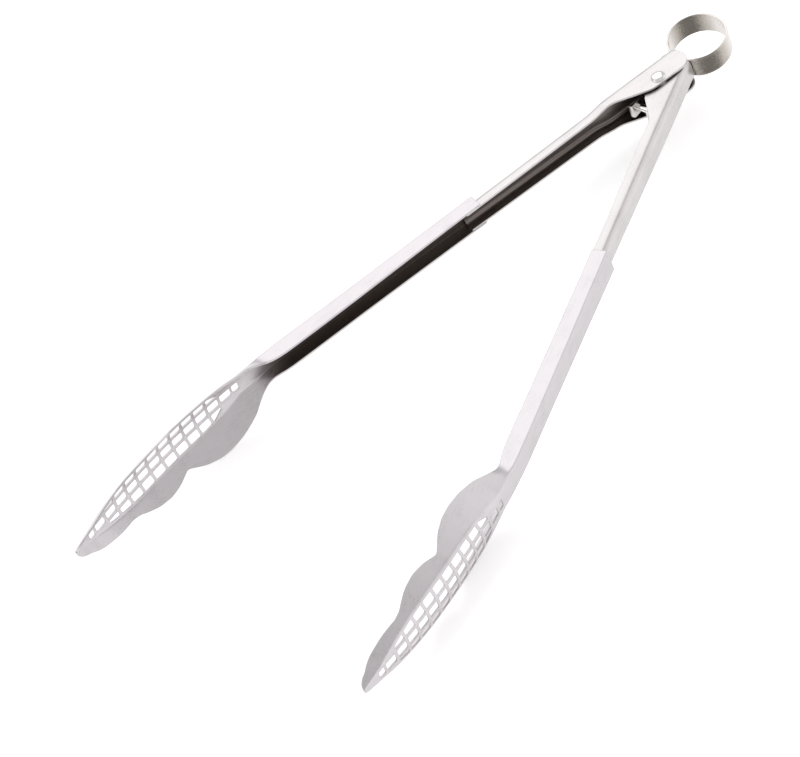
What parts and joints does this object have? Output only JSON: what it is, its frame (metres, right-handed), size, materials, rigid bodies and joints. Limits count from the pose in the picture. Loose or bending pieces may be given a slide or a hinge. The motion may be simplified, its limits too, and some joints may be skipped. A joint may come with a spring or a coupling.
{
  "type": "spring loaded kitchen tongs",
  "caption": "Sprung locking kitchen tongs with pressed steel channel arms, pierced scalloped heads and a pull ring.",
  "frame": {"origin": "centre of the bounding box in plan, at the level of the heads' lowest rims", "axes": "+X from the heads towards the pull ring, +Z along the pivot rivet towards its head, +Y towards the outer arm"},
  "size_m": [0.4296, 0.195, 0.0424],
  "materials": {
    "handle_steel": "fine brushed stainless",
    "blade_steel": "satin stainless",
    "rivet_steel": "polished stainless",
    "ring_steel": "brushed stainless strip",
    "spring_steel": "drawn spring wire",
    "washer_steel": "plain stainless"
  },
  "bodies": {
    "pivot": {"pivot_rivet": "rivet_steel", "tail_washer": "washer_steel", "near_thrust_washer": "washer_steel", "far_thrust_washer": "washer_steel", "pivot_bush": "washer_steel", "torsion_spring": "spring_steel"},
    "outer_arm": {"outer_handle": "handle_steel", "outer_blade": "blade_steel"},
    "inner_arm": {"inner_handle": "handle_steel", "inner_blade": "blade_steel"},
    "lock_slide": {"pull_ring": "ring_steel", "tang_spacer": "rivet_steel", "tang_rivet": "rivet_steel"}
  },
  "joints": [
    {"name": "outer_arm_hinge", "type": "hinge", "parent": "pivot", "child": "outer_arm", "pos_m": [0.16503, 0, 0.0212], "axis": [0, 0, 1], "range_deg": [0, 13.5], "stiffness_Nm_per_rad": 0.4, "springref_deg": -17.19, "deforming": ["torsion_spring"]},
    {"name": "inner_arm_hinge", "type": "hinge", "parent": "pivot", "child": "inner_arm", "pos_m": [0.16503, 0, 0.0212], "axis": [0, 0, 1], "range_deg": [-13.5, 0], "stiffness_Nm_per_rad": 0.4, "springref_deg": 17.19},
    {"name": "ring_slide", "type": "slide", "parent": "pivot", "child": "lock_slide", "axis": [1, 0, 0], "range_m": [0, 0.007]}
  ],
  "couplings": [
    {"joint": "inner_arm_hinge", "follows": "outer_arm_hinge", "ratio": -1}
  ]
}
